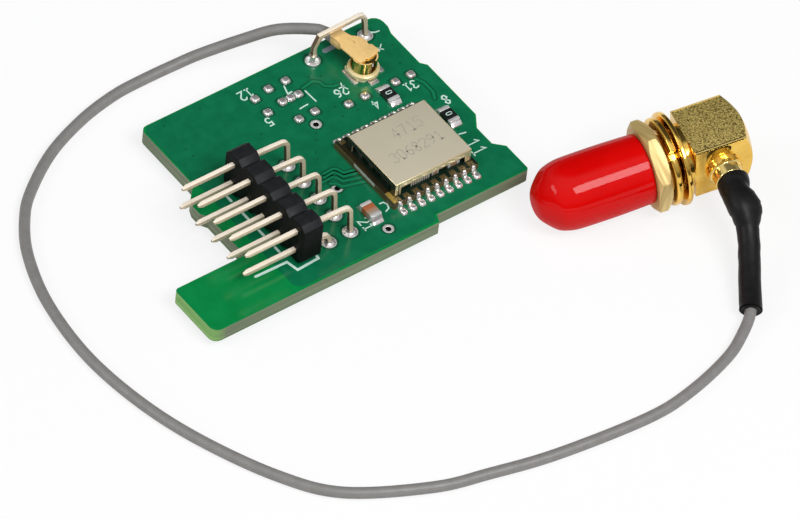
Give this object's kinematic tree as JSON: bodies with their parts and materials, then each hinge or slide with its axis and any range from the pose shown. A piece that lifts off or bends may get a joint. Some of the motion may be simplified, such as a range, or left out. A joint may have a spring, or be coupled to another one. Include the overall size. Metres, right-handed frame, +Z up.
{
  "type": "plc expansion module",
  "caption": "Notched receiver daughter board with a right-angle pin header, a shielded module and a coax lead to a capped right-angle antenna jack.",
  "frame": {"origin": "centre of the board assembly's footprint, on the plane its solder tails stand on", "axes": "+Z up out of the component side, +X along the board's long edge away from the header's pins, +Y towards the wire hoop"},
  "size_m": [0.0682, 0.0624, 0.0096],
  "materials": {
    "laminate": "cut glass-fibre edge",
    "solder_mask": "glossy lacquer over copper",
    "tinned_copper": "bright tin",
    "header_plastic": "moulded black",
    "pin_gold": "pale gold plate",
    "solder": "bright solder",
    "socket_plastic": "moulded cream",
    "contact_gold": "gold plate",
    "module_laminate": "dark green lacquer",
    "shield_metal": "matt plated sheet",
    "chip_epoxy": "moulded epoxy",
    "ceramic": "fired ceramic",
    "resistor_film": "glazed black",
    "capacitor_ceramic": "fired tan",
    "cable_jacket": "smooth grey",
    "heat_shrink": "shrunk black",
    "jack_gold": "polished gold plate",
    "white_insulator": "waxy white",
    "nut_brass": "brushed",
    "cap_plastic": "glossy red"
  },
  "bodies": {
    "board": {"pcb_core": "laminate", "mask_top": "solder_mask", "mask_bottom": "solder_mask", "hole_rings": "tinned_copper", "header_body": "header_plastic", "upper_pins": "pin_gold", "lower_pins": "pin_gold", "header_solder": "solder", "cable_hoop": "pin_gold", "hoop_solder": "solder", "socket_base": "socket_plastic", "socket_contacts": "contact_gold", "socket_solder": "solder", "module_board": "module_laminate", "module_contacts": "contact_gold", "module_solder": "solder", "shield_can": "shield_metal", "receiver_chip": "chip_epoxy", "chip_leads": "contact_gold", "module_parts": "ceramic", "resistor_bodies": "resistor_film", "capacitor_body": "capacitor_ceramic", "chip_terminals": "tinned_copper", "terminal_solder": "solder", "pad_solder": "solder", "plug_shell": "contact_gold", "plug_insulator": "white_insulator", "coax_cable": "cable_jacket", "heat_sleeve": "heat_shrink", "ferrule": "jack_gold", "jack_block": "jack_gold", "jack_barrel": "jack_gold", "jack_insulator": "white_insulator", "jack_contact": "contact_gold", "lock_washer": "nut_brass", "hex_nut": "nut_brass"},
    "cap": {"jack_cap": "cap_plastic"}
  },
  "joints": [
    {"name": "cap_pull", "type": "slide", "parent": "board", "child": "cap", "axis": [-0.9661, 0.2319, -0.1132], "range_m": [0, 0.0074]}
  ]
}
